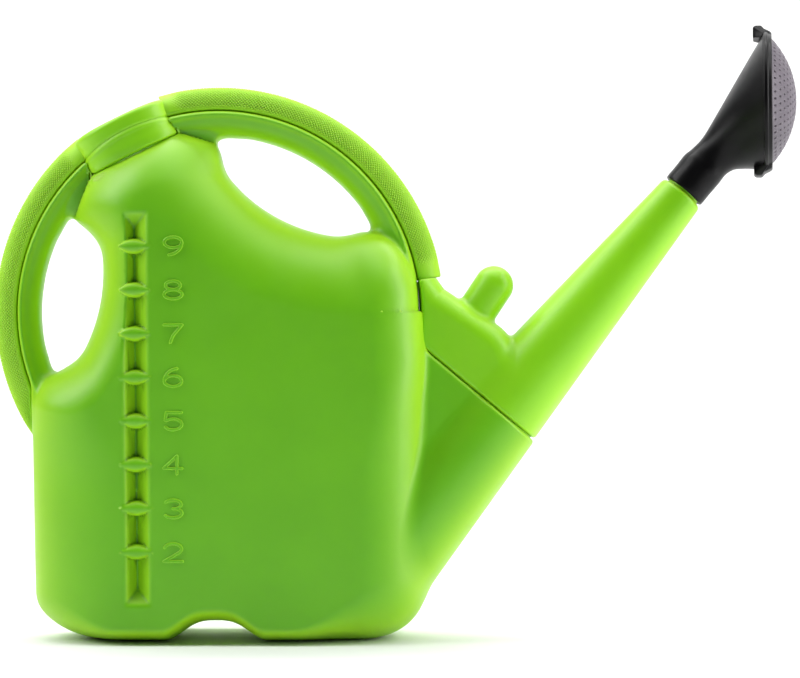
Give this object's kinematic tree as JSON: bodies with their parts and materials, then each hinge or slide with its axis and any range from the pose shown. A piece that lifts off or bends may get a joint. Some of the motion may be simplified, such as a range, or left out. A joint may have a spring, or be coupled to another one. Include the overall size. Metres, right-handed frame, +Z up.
{
  "type": "watering can",
  "caption": "Flat-sided plastic watering can with a round two-grip handle ring, a level scale, a tapered spout and a pull-off, twisting rose.",
  "frame": {"origin": "centre of the can's outline at ground level, on its middle plane", "axes": "+X towards the rose, +Y away from the side with the level scale, +Z up"},
  "size_m": [0.6008, 0.122, 0.4591],
  "materials": {
    "green_plastic": "satin moulded polyethylene",
    "grip_plastic": "finely textured moulded polyethylene",
    "black_plastic": "satin moulded polypropylene",
    "face_plastic": "grey sheet, perforated",
    "seal_rubber": "soft black rubber"
  },
  "bodies": {
    "can": {"tank": "green_plastic", "filler_collar": "green_plastic", "rear_grip": "grip_plastic", "front_grip": "grip_plastic", "spout": "green_plastic"},
    "rose_seat": {"rose_seal": "seal_rubber"},
    "rose": {"rose_housing": "black_plastic", "rose_face": "face_plastic", "rose_ring": "black_plastic"}
  },
  "joints": [
    {"name": "rose_pull", "type": "slide", "parent": "can", "child": "rose_seat", "axis": [0.6397, 0, 0.7686], "range_m": [0, 0.045]},
    {"name": "rose_twist", "type": "hinge", "parent": "rose_seat", "child": "rose", "pos_m": [0.2153, 0, 0.334], "axis": [0.6397, 0, 0.7686], "continuous": true}
  ]
}
